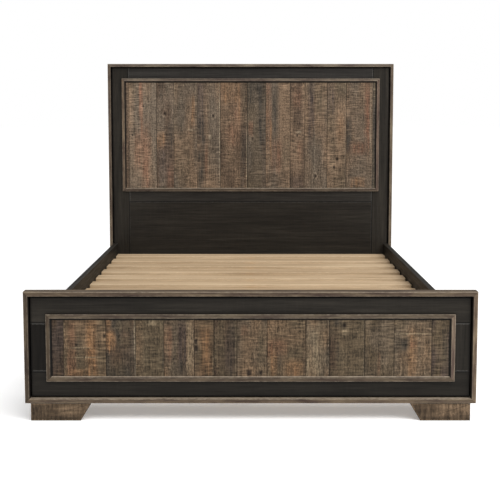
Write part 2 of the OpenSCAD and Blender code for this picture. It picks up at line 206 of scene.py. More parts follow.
def board_rings(corners, low, high, axis, radius, margin, edge_wear_and_shade, end_wear_and_shade, border):
    """Rings of an outline carried from low to high along an axis. A quarter circle eases each end:
    at the angle p a ring lies r(1 - cos p) from the end and is inset by r(1 - sin p). A border
    adds one more ring on the end face itself, so that the face keeps its own colour."""
    angles = np.radians([0, 30, 60, 90])
    depth = list(radius * (1 - np.cos(angles))) + [radius + margin]
    inwards = list(radius * (1 - np.sin(angles))) + [0.0]
    station_wear_and_shade = [0.5 * end_wear_and_shade, 0.9 * end_wear_and_shade, 0.9 * end_wear_and_shade, 0.5 * end_wear_and_shade, 0.0]
    if border:
        depth, inwards, station_wear_and_shade = [0.0] + depth, [radius + border] + inwards, [FACE_WEAR] + station_wear_and_shade
    stations = [(low + d, i, w) for d, i, w in zip(depth, inwards, station_wear_and_shade)]
    stations += [(high - d, i, w) for d, i, w in zip(depth, inwards, station_wear_and_shade)][::-1]
    rings, wear_and_light = [], []
    for position, inwards_by, ring_wear_and_shade in stations:
        outline, outline_wear_and_shade = eased(inset(corners, inwards_by), radius, margin=margin)
        points = np.insert(outline, axis, position, axis=1)
        rings.append(points)
        outline_wear_and_shade = outline_wear_and_shade * edge_wear_and_shade
        wear_and_light.append(np.where(np.abs(outline_wear_and_shade) > np.abs(ring_wear_and_shade), outline_wear_and_shade, ring_wear_and_shade))
    return np.array(rings), np.array(wear_and_light)


plain_rings = board_rings(0.1 * square, 0.0, 1.0, 2, 1.5 * MM, 2 * MM, 1.0, 1.0, 0.0)[0]
print("a plain board has", len(plain_rings), "rings of", len(plain_rings[0]), "points")


# %% A board on its body
def even_light_and_tone(light_and_tone, shape):
    """The same light and tone at every point: one number, or one each for red, green and blue."""
    return np.broadcast_to(np.atleast_1d(light_and_tone), shape + (3,))


def outline_board(name, corners, low, high, axis, grain, finish, seed, replaces, radius=1.5 * MM,
                  margin=2 * MM, light_and_tone=1.0, edge_wear_and_shade=1.0, end_wear_and_shade=1.0, border=0.0):
    """A board with any outline, from its corners in the plane across the axis. Its tone makes the
    whole board paler or darker: mostly painted light and shade, partly the tone of its wood. Its
    long edges and its ends are rubbed pale (1) or painted near black as shade (-1)."""
    material, slot = finish
    corners = np.array(corners, float)
    rings, wear_and_light = board_rings(corners, low, high, axis, radius, margin, edge_wear_and_shade, end_wear_and_shade, border)
    data = {"wood": grain_coordinates(rings, grain, seed), "wear_and_light": wear_and_light,
            "light_and_tone": even_light_and_tone(light_and_tone, wear_and_light.shape)}
    place(name, mesh_of_rings(name, rings, data), material, "frame", replaces)


def board(name, low, high, grain, finish, seed, replaces, radius=1.5 * MM, margin=2 * MM,
          light_and_tone=1.0, edge_wear_and_shade=1.0, end_wear_and_shade=1.0):
    """A plain board from one corner to the other, swept along its grain."""
    axis = "xyz".index(grain)
    a, b = [k for k in range(3) if k != axis]
    corners = [(low[a], low[b]), (high[a], low[b]), (high[a], high[b]), (low[a], high[b])]
    outline_board(name, corners, low[axis], high[axis], axis, grain, finish, seed, replaces,
                  radius, margin, light_and_tone, edge_wear_and_shade, end_wear_and_shade)


# %% [markdown]
# ## Materials
# A procedural material is a tree of nodes. These helpers add one node in one line, so that a
# recipe below reads as a list of layers and not as a list of links.

# %% Node helpers
def new_material(name):
    material = bpy.data.materials.new(name)
    material.use_nodes = True
    tree = material.node_tree
    return material, tree, tree.nodes["Principled BSDF"]


def node(tree, kind, inputs, **settings):
    """Adds a node. An input is a number, a tuple or another node's output."""
    made = tree.nodes.new("ShaderNode" + kind)
    for key, value in settings.items():
        setattr(made, key, value)
    for key, value in inputs.items():
        if isinstance(value, bpy.types.NodeSocket):
            tree.links.new(value, made.inputs[key])
        else:
            made.inputs[key].default_value = value
    return made


def math_of(tree, operation, a, b):
    return node(tree, "Math", {0: a, 1: b}, operation=operation).outputs[0]


# %% Noise, ramps and colours
def noise(tree, vector, scales, detail=3.0, roughness=0.55, distortion=0.0):
    """Noise that changes `scales` times in a metre along each of the vector's axes."""
    stretched = node(tree, "VectorMath", {0: vector, 1: scales}, operation="MULTIPLY").outputs[0]
    settings = {"Vector": stretched, "Scale": 1.0, "Detail": detail, "Roughness": roughness,
                "Distortion": distortion}
    return node(tree, "TexNoise", settings).outputs[0]


def ramp(tree, value, low, high, to_low=0.0, to_high=1.0):
    """value from low..high mapped to to_low..to_high, and held there beyond."""
    return node(tree, "MapRange", {0: value, 1: low, 2: high, 3: to_low, 4: to_high}).outputs[0]


def ticks(tree, value, strength):
    """Pale ticks on a slightly darker ground: the low half of a noise is held level."""
    return ramp(tree, value, 0.43, 0.70, -0.4 * strength, strength)


def mix(tree, share, a, b, mode="MIX"):
    """Colour a, with colour b mixed in by the share."""
    made = node(tree, "Mix", {0: share, 6: a, 7: b}, data_type="RGBA", blend_type=mode)
    return made.outputs[2]


def rgb(red, green, blue):
    return (red, green, blue, 1.0)


# %% [markdown]
# ## One recipe for wood
# Stained wood is a colour over figure, fibres, pores and the marks that a saw leaves. Large soft
# noise gives the figure, fine noise stretched along the grain gives the fibres, and noise
# stretched across the grain gives the saw marks. An image would repeat and show its seams. Noise
# doesn't, and the same layers drive the bump and the roughness, so light and colour agree. Two
# attributes of the mesh finish it: a tone for the whole piece, which mostly paints light and shade
# onto it, and a value for the edges, which are rubbed pale, painted pale as highlights or painted
# near black as shade.

# %% Wood coordinates
def wood_vector(tree, grain=None):
    """The wood attribute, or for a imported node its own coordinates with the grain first."""
    if grain is None:
        return node(tree, "Attribute", {}, attribute_name="wood").outputs["Vector"]
    own = node(tree, "TexCoord", {}).outputs["Object"]
    parts = node(tree, "SeparateXYZ", {0: own}).outputs
    order = GRAIN_ORDER[grain]
    swapped = {k: parts[order[k]] for k in range(3)}
    return node(tree, "CombineXYZ", swapped).outputs[0]


# %% Wood recipe
# near black, for painted shade along edges, in reveals and at seams
PAINTED_SHADE = rgb(0.004, 0.0035, 0.003)


def wood_material(name, dark, light, worn_and_highlight, figure=(1.6, 16), fibre=(7, 160), fibre_depth=0.3,
                  saw=0.0, saw_scales=(95, 11), speckle=0.0, speckle_scales=(60, 120),
                  fleck=0.0, pores=0.12, rough=(0.5, 0.7), bump=0.25, grain=None, specular=0.25):
    """Wood with figure, fibres, fine pores, saw marks, speckles, pale flecks with dark pits, and
    edges that are rubbed or painted pale as highlights, or painted near black as shade. Figure,
    fibre and the two scales count the changes in a metre, first along the grain, then across it.
    Without a dark and a light base colour, the mesh's own tint is the base."""
    material, tree, shader = new_material(name)
    vector = wood_vector(tree, grain)
    broad = noise(tree, vector, (figure[0], figure[1], figure[1]), 4, 0.6, 0.6)
    fine = noise(tree, vector, (fibre[0], fibre[1], fibre[1]), 5, 0.65)
    marks = noise(tree, vector, (saw_scales[0], saw_scales[1], saw_scales[1]), 3, 0.55)
    grit = noise(tree, vector, (speckle_scales[0], speckle_scales[1], speckle_scales[1]), 4, 0.65)
    patches = noise(tree, vector, (5, 9, 9), 2, 0.5)
    dashes = noise(tree, vector, (28, 640, 640), 2, 0.5)
    pored = ramp(tree, dashes, 0.32, 0.68, -pores, pores)
    if dark is None:
        base = node(tree, "Attribute", {}, attribute_name="tint").outputs["Color"]
    else:
        base = mix(tree, ramp(tree, broad, 0.3, 0.7), dark, light)
    fibres = ramp(tree, fine, 0.28, 0.72, 1 - fibre_depth, 1 + fibre_depth)
    sawn = math_of(tree, "MULTIPLY", ticks(tree, marks, saw),
                   ramp(tree, patches, 0.35, 0.6, 0.15, 1.0))
    gritty = math_of(tree, "MULTIPLY", ticks(tree, grit, speckle),
                     ramp(tree, patches, 0.4, 0.65, 1.0, 0.35))
    shade = math_of(tree, "ADD", fibres, math_of(tree, "ADD", sawn, gritty))
    shade = math_of(tree, "ADD", shade, pored)
    if fleck:
        dots = noise(tree, vector, (110, 190, 190), 2, 0.6)
        flecked = math_of(tree, "ADD", ramp(tree, dots, 0.58, 0.72, 0.0, fleck),
                          ramp(tree, dots, 0.42, 0.28, 0.0, -0.4 * fleck))
        here = ramp(tree, noise(tree, vector, (3, 14, 14), 2, 0.5), 0.42, 0.58, 0.1, 1.0)
        shade = math_of(tree, "ADD", shade, math_of(tree, "MULTIPLY", flecked, here))
    shade = math_of(tree, "MAXIMUM", shade, 0.12)
    shade = math_of(tree, "MULTIPLY", shade, ramp(tree, broad, 0.2, 0.8, 0.88, 1.12))
    grey = node(tree, "CombineXYZ", {0: shade, 1: shade, 2: shade}).outputs[0]
    colour = mix(tree, 1.0, base, grey, "MULTIPLY")
    # tone: painted light and shade on whole pieces, partly the tone of their wood
    if grain is None:
        light_and_tone = node(tree, "Attribute", {}, attribute_name="light_and_tone").outputs["Color"]
        colour = mix(tree, 1.0, colour, light_and_tone, "MULTIPLY")
    # above 0 the edges turn pale, for rubbing and painted highlights; below 0 they turn near black, as
    # painted shade
    wear_and_light = node(tree, "Attribute", {}, attribute_name="wear_and_light").outputs["Fac"]
    ragged = math_of(tree, "ADD", wear_and_light, ramp(tree, grit, 0.3, 0.7, -0.5, 0.2))
    colour = mix(tree, ramp(tree, ragged, 0.2, 0.9, 0.0, 0.85), colour, worn_and_highlight)
    colour = mix(tree, ramp(tree, wear_and_light, -0.9, -0.05, 0.95, 0.0), colour, PAINTED_SHADE)
    relief = math_of(tree, "ADD", math_of(tree, "MULTIPLY", fine, 0.5),
                     math_of(tree, "ADD", pored, math_of(tree, "ADD", sawn, gritty)))
    lumps = node(tree, "Bump", {"Strength": bump, "Distance": 0.6 * MM, "Height": relief})
    tree.links.new(colour, shader.inputs["Base Color"])
    tree.links.new(ramp(tree, fine, 0.3, 0.7, rough[1], rough[0]), shader.inputs["Roughness"])
    tree.links.new(lumps.outputs[0], shader.inputs["Normal"])
    shader.inputs["Specular IOR Level"].default_value = specular
    return material


# %% [markdown]
# ## The finishes
# The bed has a brown moulding with an open grain, a near-black stain on the frame boards, coarse
# ribbed feet, mixed old planks, plain pine where nobody looks, and a thin stain on the back. Each
# gets a dark and a light base colour, and a third one for where it is rubbed or painted with a
# highlight. Only the planks get no base here, because every one has colours of its own.

# %% Wood finishes
MOULDING = (wood_material("brown moulding", rgb(0.046, 0.027, 0.020), rgb(0.138, 0.102, 0.064),
                          rgb(0.270, 0.220, 0.165), figure=(7, 45), fibre=(9, 220),
                          fibre_depth=0.28, speckle=0.18, rough=(0.5, 0.7), specular=0.2),
            "moulding_wood")
CHARCOAL = (wood_material("charcoal stain", rgb(0.0155, 0.0130, 0.0102),
                          rgb(0.0245, 0.0208, 0.0162), rgb(0.080, 0.075, 0.068),
                          figure=(1.5, 30), fibre=(6, 150), fibre_depth=0.35, saw=0.1,
                          saw_scales=(120, 8), rough=(0.45, 0.62), bump=0.15, specular=0.12),
            "dark_wood")
RIBBED = (wood_material("ribbed feet", rgb(0.066, 0.045, 0.029), rgb(0.152, 0.106, 0.070),
                        rgb(0.13, 0.095, 0.065), figure=(7, 60), fibre=(12, 120),
                        fibre_depth=0.4, saw=0.5, speckle=0.5, fleck=0.7, rough=(0.55, 0.75),
                        bump=0.5, specular=0.12), "foot_wood")
BACKING = (wood_material("stained backing", rgb(0.030, 0.024, 0.019), rgb(0.055, 0.044, 0.035),
                         rgb(0.10, 0.08, 0.06), figure=(1.2, 9), fibre=(4, 160),
                         fibre_depth=0.3, rough=(0.6, 0.8)), "backing_wood")
PINE = (wood_material("planed pine", rgb(0.40, 0.275, 0.160), rgb(0.56, 0.42, 0.27),
                      rgb(0.62, 0.49, 0.33), figure=(1.3, 26), fibre=(4, 220),
                      fibre_depth=0.12, pores=0.06, rough=(0.5, 0.65), bump=0.15), "pine_wood")
PLANK = (wood_material("mixed planks", None, None, rgb(0.29, 0.235, 0.17), figure=(5, 40),
                       fibre=(9, 175), fibre_depth=0.42, saw=0.8, saw_scales=(150, 22),
                       speckle=0.75, speckle_scales=(100, 180), fleck=0.9, pores=0.25,
                       rough=(0.55, 0.75), bump=0.6, specular=0.15), "plank_wood")
HIDDEN_WOOD = wood_material("board inside", rgb(0.05, 0.04, 0.03), rgb(0.08, 0.065, 0.05),
                            rgb(0.1, 0.08, 0.06), grain="x")
print("wood finishes:", [slot for _, slot in (MOULDING, CHARCOAL, RIBBED, BACKING, PINE, PLANK)])

# %% [markdown]
# ## Steel and nylon
# Screws, plates and leveller stems are zinc-plated steel, whose crystals show as patches of two
# greys. The pads are black nylon with a faint grain from their mould. Both use the object's own
# coordinates, because these pieces have no direction that matters.

# %% Steel and nylon
def metal_material(name, dark, light, rough):
    """Zinc-plated steel: spangles of two greys, and fine scratches in the bump."""
    material, tree, shader = new_material(name)
    own = node(tree, "TexCoord", {}).outputs["Object"]
    spangle = noise(tree, own, (90, 90, 90), 4, 0.7)
    scratch = noise(tree, own, (60, 60, 1500), 3, 0.6)
    colour = mix(tree, ramp(tree, spangle, 0.35, 0.65), dark, light)
    tree.links.new(colour, shader.inputs["Base Color"])
    tree.links.new(ramp(tree, scratch, 0.3, 0.7, rough, rough + 0.18), shader.inputs["Roughness"])
    lumps = node(tree, "Bump", {"Strength": 0.1, "Distance": 0.1 * MM, "Height": scratch})
    tree.links.new(lumps.outputs[0], shader.inputs["Normal"])
    shader.inputs["Metallic"].default_value = 1.0
    return material


def nylon_material(name, dark, light):
    """Moulded black nylon: a faint grain in the colour, and a finer one in the bump."""
    material, tree, shader = new_material(name)
    own = node(tree, "TexCoord", {}).outputs["Object"]
    cloudy = noise(tree, own, (120, 120, 120), 3, 0.6)
    grainy = noise(tree, own, (2200, 2200, 2200), 2, 0.5)
    colour = mix(tree, ramp(tree, cloudy, 0.3, 0.7), dark, light)
    tree.links.new(colour, shader.inputs["Base Color"])
    tree.links.new(ramp(tree, cloudy, 0.3, 0.7, 0.45, 0.6), shader.inputs["Roughness"])
    lumps = node(tree, "Bump", {"Strength": 0.2, "Distance": 0.1 * MM, "Height": grainy})
    tree.links.new(lumps.outputs[0], shader.inputs["Normal"])
    return material


ZINC = metal_material("zinc plate", rgb(0.46, 0.47, 0.49), rgb(0.68, 0.69, 0.71), 0.28)
NYLON = nylon_material("black nylon", rgb(0.012, 0.012, 0.013), rgb(0.022, 0.022, 0.024))
print("other finishes:", ZINC.name, "and", NYLON.name)

# %% [markdown]
# ## The dark boards, the rails and the base
# Stiles, rails and panels are plain boards, so one loop makes them all. Each takes its corners
# from its node. Inside the mouldings the boards' long edges, and the ends that meet a moulding,
# are painted near black: painted shade where the mouldings shadow them. The ends that butt
# against another board are rubbed pale.

# %% Boards from their nodes
BOARDS = {
    "headboard_left_stile": ("z", CHARCOAL), "headboard_right_stile": ("z", CHARCOAL),
    "headboard_top_rail": ("x", CHARCOAL), "headboard_bottom_rail": ("x", CHARCOAL),
    "headboard_lower_panel": ("x", CHARCOAL), "headboard_back_panel": ("x", BACKING),
    "headboard_left_post": ("z", BACKING), "headboard_right_post": ("z", BACKING),
    "footboard_left_stile": ("z", CHARCOAL), "footboard_right_stile": ("z", CHARCOAL),
    "footboard_top_rail": ("x", CHARCOAL), "footboard_bottom_rail": ("x", CHARCOAL),
    "footboard_back_panel": ("x", CHARCOAL),
    "left_side_rail": ("y", CHARCOAL), "right_side_rail": ("y", CHARCOAL),
    "left_slat_ledger": ("y", PINE), "right_slat_ledger": ("y", PINE),
    "centre_beam": ("y", PINE), "head_centre_leg": ("z", PINE), "foot_centre_leg": ("z", PINE),
}
# how pale each board is painted: painted light and shade, the footboard's boards darker, its left stile
# most, and the headboard's rails and right stile lighter
BOARD_LIGHT_AND_TONE = {"footboard_left_stile": (0.35, 0.33, 0.31), "footboard_right_stile": 0.85,
               "footboard_bottom_rail": 0.72, "headboard_top_rail": (1.26, 1.34, 1.52),
               "headboard_bottom_rail": (1.25, 1.30, 1.4), "headboard_right_stile": 1.2}
BUTTED = ("footboard_left_stile", "footboard_right_stile", "headboard_top_rail",
          "headboard_bottom_rail")
IN_THE_MOULDINGS = BUTTED + ("headboard_left_stile", "headboard_right_stile",
                             "footboard_top_rail", "footboard_bottom_rail")
# how rubbed (above 0) the boards inside the mouldings are, and how dark with painted shade
# (below 0)
SHADED_EDGE = -1.8
SHADED_END = -1.0
RUBBED_END = 1.7
SHADE_MARGIN = 6 * MM
for seed, (node_name, (grain, finish)) in enumerate(BOARDS.items()):
    low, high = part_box(node_name)
    edge_wear_and_shade, end_wear_and_shade, margin = 1.0, 1.0, 2 * MM
    if node_name in IN_THE_MOULDINGS:
        edge_wear_and_shade, margin = SHADED_EDGE, SHADE_MARGIN
        end_wear_and_shade = RUBBED_END if node_name in BUTTED else SHADED_END
    board(node_name + "_wood", low, high, grain, finish, seed, [node_name], margin=margin,
          light_and_tone=BOARD_LIGHT_AND_TONE.get(node_name, 1.0), edge_wear_and_shade=edge_wear_and_shade, end_wear_and_shade=end_wear_and_shade)
print("boards:", len(BOARDS), "of which inside the mouldings:", len(IN_THE_MOULDINGS))

# %% [markdown]
# ## Blocks behind the footboard
# A solid block behind each end of the footboard takes the hooks of a side rail. It steps over the
# bottom moulding, so its outline has six corners. A cube and a boolean would leave the step's
# edges sharp. An outline of six corners is eased like any other.

# %% Footboard blocks
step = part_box("footboard_bottom_moulding")[1]
for seed, side in ((41, "left"), (42, "right")):
    node_name = f"footboard_{side}_block"
    low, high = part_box(node_name)
    corners = [(step.y, low.z), (high.y, low.z), (high.y, high.z), (low.y, high.z),
               (low.y, step.z), (step.y, step.z)]
    outline_board(node_name + "_wood", corners, low.x, high.x, 0, "z", CHARCOAL, seed, [node_name],
                  radius=1.2 * MM, margin=1 * MM)
print("a block is", round(high.x - low.x, 3), "m wide and", round(high.z - low.z, 3), "m high")

# %% [markdown]
# ## Slats
# The slats are planed pine laid across the ledgers. An array modifier would repeat one slat with
# the same grain. Twelve boards with seeds of their own differ, as boards from a stack do.

# %% Slats
slats_low, slats_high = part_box("slats")
SLAT_COUNT = 12
SLAT_WIDTH = 0.09
slat_pitch = (slats_high.y - slats_low.y - SLAT_WIDTH) / (SLAT_COUNT - 1)
for number in range(SLAT_COUNT):
    low, high = slats_low.copy(), slats_high.copy()
    low.y = slats_low.y + number * slat_pitch
    high.y = low.y + SLAT_WIDTH
    board(f"slat_{number + 1:02d}", low, high, "x", PINE, 60 + number, ["slats"], radius=2 * MM)
print("slats:", SLAT_COUNT, "every", round(slat_pitch, 3), "m")

# %% [markdown]
# ## Feet
# A bracket foot is upright outside and slopes inside, so its outline is a trapezium carried from
# front to back. Its grain is upright, and its face is brushed into ribs. The dark rim round the
# face is painted shade along its edges. A border ring on the face keeps it narrow.

# %% Front feet
FOOT_SLOPE = 39 * MM
for seed, side, light_and_tone in ((51, "left", (1.09, 1.06, 0.98)), (52, "right", (1.13, 1.09, 1.01))):
    node_name = f"{side}_front_foot"
    low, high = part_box(node_name)
    from_left, from_right = (0, FOOT_SLOPE) if side == "left" else (FOOT_SLOPE, 0)
    corners = [(low.x + from_left, low.z), (high.x - from_right, low.z), (high.x, high.z),
               (low.x, high.z)]
    # the dark rim of -0.8 along the edges and ends is painted shade
    outline_board(node_name + "_wood", corners, low.y, high.y, 1, "z", RIBBED, seed, [node_name],
                  light_and_tone=light_and_tone, edge_wear_and_shade=-0.8, end_wear_and_shade=-0.8, border=3 * MM)
print("a foot is", round(high.z - low.z, 3), "m high; its inner side slopes by", FOOT_SLOPE, "m")

# %% [markdown]
# ## Mouldings
# A moulding is a profile run through a moulder and cut at 45 degrees. Each point of the profile
# has a depth behind the face and a distance from the outer edge. At a mitre, the bar starts as
# far in as that distance, so the profile itself makes the cut.

# %% Moulding profiles
# depth and width in millimetres, then how pale (1) or how dark (-1) the point is painted: pale
# on rubbed edges, partly as painted highlights where the edges catch the light; near black as
# painted shade on the sides of the mouldings and in the reveal beside them; the deepest points
# go to the back of the node, however deep it is
OUTER_PROFILE = np.array([
    (40, 0.0, 0.0), (6.0, 0.0, 0.0), (4.4, 0.1, 0.6), (3.0, 0.6, 1.0), (2.0, 1.5, 1.0),
    (1.6, 2.3, 0.4), (1.4, 3.2, 0.0), (1.4, 5.2, 0.0), (1.3, 7.2, 0.0), (1.1, 9.5, 0.0),
    (0.8, 11.8, 0.0), (0.4, 13.2, 0.0), (0.0, 14.4, 0.5), (0.0, 15.2, 0.8), (0.5, 15.9, 0.2),
    (1.8, 16.9, -0.7), (3.6, 17.8, -1.0), (6.0, 18.0, -1.0), (40, 18.0, -1.0)])
INNER_PROFILE = np.array([
    (12, 0.0, -0.9), (4.0, 0.0, -0.7), (2.2, 0.2, 0.0), (1.0, 0.9, 0.9), (0.7, 1.8, 0.7),
    (0.8, 3.0, 0.1), (1.2, 4.8, 0.0), (1.4, 6.6, 0.0), (1.3, 8.8, 0.0), (0.9, 10.8, 0.0),
    (0.3, 12.2, 0.2), (0.0, 13.2, 0.8), (0.1, 14.2, 0.2), (0.9, 14.8, -0.8), (3.0, 16.4, -1.0),
    (5.8, 19.0, -1.0), (5.8, 14.6, -1.0), (12, 14.6, -1.0)])
print("points of the profiles:", len(OUTER_PROFILE), "and", len(INNER_PROFILE))

# %% A moulding bar
# how pale each bar of the two ends is painted: mostly painted light and shade, with the left bars
# darker, the right bars lighter and the headboard's top lighter
BAR_LIGHT_AND_TONE = {"headboard": {"top": (1.2, 1.32, 1.48), "left": (1.0, 1.02, 1.08),
                       "right": (1.1, 1.15, 1.2)},
         "headboard_inner": {"top": (1.13, 1.22, 1.4), "left": (1.12, 1.08, 1.08),
                             "right": (1.12, 1.05, 1.18), "bottom": (0.76, 0.76, 0.79)},
         "footboard": {"top": 0.87, "left": 0.55, "right": 1.22, "bottom": 1.0},
         "footboard_inner": {"top": (0.82, 0.86, 0.88), "left": (0.56, 0.55, 0.53),
                             "right": (1.5, 1.55, 1.68), "bottom": 0.75}}
# on a bottom bar, the inner side beyond the lip is painted pale in place of painted shade: a painted
# highlight where light from above falls on it
LIP_STARTS = 15 * MM
LIP_HIGHLIGHT = 0.9
MITRE_GAP = 0.2 * MM
RING_EVERY = 0.12


def moulding(name, profile, depth, start, along, inwards, length, mitres, seed, light_and_tone, lit_lip):
    """A bar from its outer front corner. A point at distance w from the outer edge runs from
    start + w along to start + (length - w) along at a mitred end."""
    profile = profile.copy()
    profile[:, :2] *= MM
    deepest = profile[:, 0] >= profile[:, 0].max()
    profile[deepest, 0] = depth
    wear_and_light = profile[:, 2]
    # painted highlight on a bottom bar's upturned inner side
    if lit_lip:
        wear_and_light = np.where((wear_and_light < 0) & (profile[:, 1] > LIP_STARTS), LIP_HIGHLIGHT, wear_and_light)
    start, along, inwards = (np.array(v, float) for v in (start, along, inwards))
    first = profile[:, 1] * mitres[0] + MITRE_GAP
    last = length - profile[:, 1] * mitres[1] - MITRE_GAP
    share = np.linspace(0, 1, max(3, round(length / RING_EVERY)))[:, None]
    distance = first + share * (last - first)
    rings = start + distance[..., None] * along + profile[:, 1, None] * inwards
    rings = rings + profile[:, 0, None] * np.array([0, 1.0, 0])
    grain = "xyz"[int(np.argmax(np.abs(along)))]
    data = {"wood": grain_coordinates(rings, grain, seed), "wear_and_light": np.tile(wear_and_light, len(share)),
            "light_and_tone": even_light_and_tone(light_and_tone, rings.shape[:2])}
    mesh = mesh_of_rings(name, rings, data, sharp_angle=50)
    material, slot = MOULDING
    place(name, mesh, material, "frame", [name.removesuffix("_bar")])


# %% A frame of bars
def moulding_frame(prefix, profile, low, high, depth, seed, has_bottom):
    """The bars round a box: top and bottom along X, sides along Z, mitred where two meet."""
    width, height = high[0] - low[0], high[2] - low[2]
    front = low[1]
    foot_mitre = 1 if has_bottom else 0
    bars = {
        "top": ((low[0], front, high[2]), (1, 0, 0), (0, 0, -1), width, (1, 1)),
        "left": ((low[0], front, high[2]), (0, 0, -1), (1, 0, 0), height, (1, foot_mitre)),
        "right": ((high[0], front, high[2]), (0, 0, -1), (-1, 0, 0), height, (1, foot_mitre)),
    }
    if has_bottom:
        bars["bottom"] = ((low[0], front, low[2]), (1, 0, 0), (0, 0, 1), width, (1, 1))
    for number, (bar, (start, along, inwards, length, mitres)) in enumerate(bars.items()):
        moulding(f"{prefix}_{bar}_moulding_bar", profile, depth, start, along, inwards, length,
                 mitres, seed + number, BAR_LIGHT_AND_TONE[prefix][bar], bar == "bottom")
    print(prefix, "moulding bars:", list(bars))


# %% The four moulding frames
def box_of(*node_names):
    """The box round several nodes, as two arrays."""
    corners = [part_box(n) for n in node_names]
    low = np.min([np.array(c[0]) for c in corners], 0)
    high = np.max([np.array(c[1]) for c in corners], 0)
    return low, high


SIDES = ("top", "left", "right", "bottom")
for seed, end in ((70, "headboard"), (80, "footboard")):
    closed = end == "footboard"
    outer = [f"{end}_{s}_moulding" for s in (SIDES if closed else SIDES[:3])]
    low, high = box_of(*outer)
    moulding_frame(end, OUTER_PROFILE, low, high, high[1] - low[1], seed, closed)
    low, high = box_of(*[f"{end}_inner_{s}_moulding" for s in SIDES])
    moulding_frame(end + "_inner", INNER_PROFILE, low, high, high[1] - low[1], seed + 5, True)

# %% [markdown]
# ## Planks
# The planks look like old floorboards from many places: tan, grey, olive, rust and charcoal on
# one panel, cut across by the saw. Noise alone never puts the colours where they should be, so
# each plank has a short list: its two base colours, then streaks and knots by their place on it.

# %% Stain colours
STAINS = {
    "tan": (0.176, 0.118, 0.075), "grey": (0.124, 0.095, 0.068), "umber": (0.078, 0.053, 0.036),
    "rust": (0.170, 0.088, 0.054), "orange": (0.225, 0.128, 0.068), "olive": (0.110, 0.085, 0.056),
    "khaki": (0.104, 0.077, 0.050), "plum": (0.074, 0.054, 0.045), "char": (0.056, 0.046, 0.036),
    "pale": (0.300, 0.240, 0.165),
}
print("stains:", list(STAINS))

# %% [markdown]
# A recipe starts with how pale the plank is, then its two base stains. A streak is (stain,
# across, half width, up, half height, strength), all from 0 to 1 on its plank. A knot is
# (across, up, radius in millimetres).

# %% Headboard planks, left to right
HEADBOARD = [
    (1.15, "umber", "tan", [], []),
    (1.25, "tan", "grey", [("olive", .12, .14, .95, .10, .5), ("rust", .45, .07, .80, .28, .8),
     ("rust", .36, .16, .38, .16, .55), ("rust", .62, .17, .30, .30, .6),
     ("umber", .80, .12, .05, .04, .7), ("char", .12, .10, .53, .05, .5)],
     [(.53, .77, 7), (.13, .50, 6)]),
    (1.22, "grey", "umber", [("char", .30, .12, .93, .10, .5), ("umber", .5, .35, .72, .03, .7),
     ("orange", .25, .22, .45, .08, .6), ("char", .80, .15, .50, .14, .5),
     ("plum", .45, .35, .22, .20, .5), ("rust", .80, .20, .10, .12, .4)],
     [(.5, .70, 9)]),
    (0.92, "grey", "tan", [("orange", .83, .07, .72, .13, .9), ("pale", .04, .03, .9, .3, .5),
     ("olive", .4, .3, .2, .3, .4), ("pale", .75, .2, .55, .01, .4)],
     []),
    (1.0, "tan", "grey", [("plum", .18, .17, .75, .35, .75), ("char", .20, .17, .35, .4, .75),
     ("rust", .40, .06, .25, .15, .6), ("pale", .98, .02, .6, .5, .8),
     ("pale", .55, .06, .48, .02, .8)],
     [(.70, .68, 8)]),
    (0.88, "tan", "umber", [("orange", .35, .35, .90, .10, .5), ("rust", .62, .2, .62, .2, .5),
     ("orange", .70, .04, .8, .2, .6), ("olive", .9, .1, .80, .2, .5),
     ("char", .85, .10, .30, .30, .8), ("rust", .42, .2, .5, .1, .45),
     ("umber", .4, .35, .15, .15, .4), ("pale", .99, .015, .25, .3, .7)], []),
    (0.95, "grey", "khaki", [("char", .40, .45, .90, .12, .9), ("char", .80, .22, .70, .35, .8),
     ("olive", .12, .12, .60, .08, .7), ("rust", .20, .14, .56, .07, .7),
     ("char", .12, .2, .30, .15, .5), ("umber", .9, .12, .2, .25, .7)],
     [(.3, .47, 7)]),
    (0.98, "tan", "grey", [("rust", .12, .12, .75, .35, .5), ("char", .40, .14, .75, .25, .6),
     ("orange", .22, .04, .42, .2, .8), ("rust", .45, .2, .3, .15, .7),
     ("olive", .85, .15, .35, .15, .5), ("umber", .5, .4, .08, .05, .5)], []),
    (1.12, "tan", "umber", [("rust", .5, .3, .85, .1, .4), ("pale", .6, .18, .53, .012, .45),
     ("rust", .7, .2, .35, .1, .4), ("plum", .5, .4, .06, .06, .5)],
     [(.5, .50, 7)]),
    (0.93, "grey", "tan", [("plum", .30, .14, .72, .28, .9), ("olive", .7, .25, .85, .2, .5),
     ("char", .42, .06, .4, .15, .6), ("pale", .46, .015, .3, .3, .5),
     ("tan", .2, .15, .15, .15, .5)],
     [(.5, .12, 9)]),
    (1.02, "khaki", "tan", [("plum", .2, .2, .85, .15, .7), ("orange", .7, .2, .55, .14, .4),
     ("tan", .6, .2, .3, .15, .3)],
     [(.55, .28, 9), (.38, .2, 8)]),
    (0.86, "tan", "grey", [("char", .12, .11, .50, .17, .8), ("rust", .80, .10, .70, .3, .8),
     ("tan", .4, .3, .85, .12, .4), ("rust", .5, .35, .38, .06, .6),
     ("orange", .45, .28, .06, .05, .8), ("pale", .93, .02, .6, .35, .4)], []),
    (1.15, "olive", "char", [], []),
]

